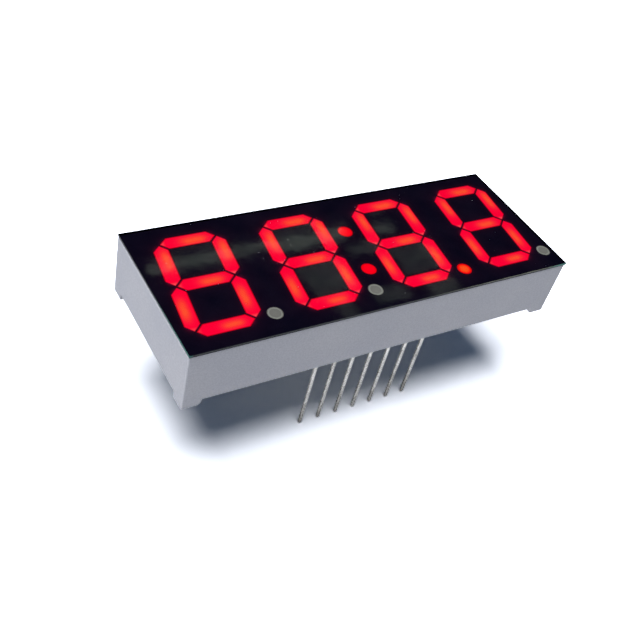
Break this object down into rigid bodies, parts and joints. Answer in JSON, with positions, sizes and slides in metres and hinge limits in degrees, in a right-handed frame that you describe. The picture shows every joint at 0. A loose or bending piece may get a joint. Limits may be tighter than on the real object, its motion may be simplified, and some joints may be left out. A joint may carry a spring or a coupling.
{
  "type": "four-digit seven-segment display",
  "caption": "Row of seven-segment digits with a colon and decimal points under a black mask, in a box-shaped housing with corner feet and two rows of pins.",
  "frame": {"origin": "on the board surface under the feet, at the centre of the pin grid", "axes": "+X along the row of digits from the first to the last, +Y up the digits, +Z out of the face"},
  "size_m": [0.0502, 0.0191, 0.0194],
  "materials": {
    "white_plastic": "moulded, slightly grained",
    "black_mask": "black print",
    "clear_film": "clear glossy film with a green edge",
    "board_laminate": "glass-fibre laminate",
    "potting_resin": "cast resin",
    "lit_segment": "diffusing resin, lit red",
    "unlit_point": "diffusing resin, not lit",
    "tinned_pin": "tinned, slightly rough",
    "chip": "light-emitting chip",
    "gold_wire": "bond wire",
    "solder": "solder, satin"
  },
  "bodies": {
    "root": {"housing": "white_plastic", "face_mask": "black_mask", "cover_film": "clear_film", "circuit_board": "board_laminate", "rear_resin": "potting_resin", "digit_1_segment_a": "lit_segment", "digit_1_segment_b": "lit_segment", "digit_1_segment_c": "lit_segment", "digit_1_segment_d": "lit_segment", "digit_1_segment_e": "lit_segment", "digit_1_segment_f": "lit_segment", "digit_1_segment_g": "lit_segment", "digit_2_segment_a": "lit_segment", "digit_2_segment_b": "lit_segment", "digit_2_segment_c": "lit_segment", "digit_2_segment_d": "lit_segment", "digit_2_segment_e": "lit_segment", "digit_2_segment_f": "lit_segment", "digit_2_segment_g": "lit_segment", "digit_3_segment_a": "lit_segment", "digit_3_segment_b": "lit_segment", "digit_3_segment_c": "lit_segment", "digit_3_segment_d": "lit_segment", "digit_3_segment_e": "lit_segment", "digit_3_segment_f": "lit_segment", "digit_3_segment_g": "lit_segment", "digit_4_segment_a": "lit_segment", "digit_4_segment_b": "lit_segment", "digit_4_segment_c": "lit_segment", "digit_4_segment_d": "lit_segment", "digit_4_segment_e": "lit_segment", "digit_4_segment_f": "lit_segment", "digit_4_segment_g": "lit_segment", "decimal_point_1": "unlit_point", "decimal_point_2": "unlit_point", "decimal_point_3": "lit_segment", "decimal_point_4": "unlit_point", "colon_upper": "lit_segment", "colon_lower": "lit_segment", "pin_1": "tinned_pin", "pin_2": "tinned_pin", "pin_3": "tinned_pin", "pin_4": "tinned_pin", "pin_5": "tinned_pin", "pin_6": "tinned_pin", "pin_7": "tinned_pin", "pin_8": "tinned_pin", "pin_9": "tinned_pin", "pin_10": "tinned_pin", "pin_11": "tinned_pin", "pin_12": "tinned_pin", "pin_13": "tinned_pin", "pin_14": "tinned_pin", "led_chips": "chip", "bond_wires": "gold_wire", "solder_joints": "solder"}
  },
  "joints": []
}
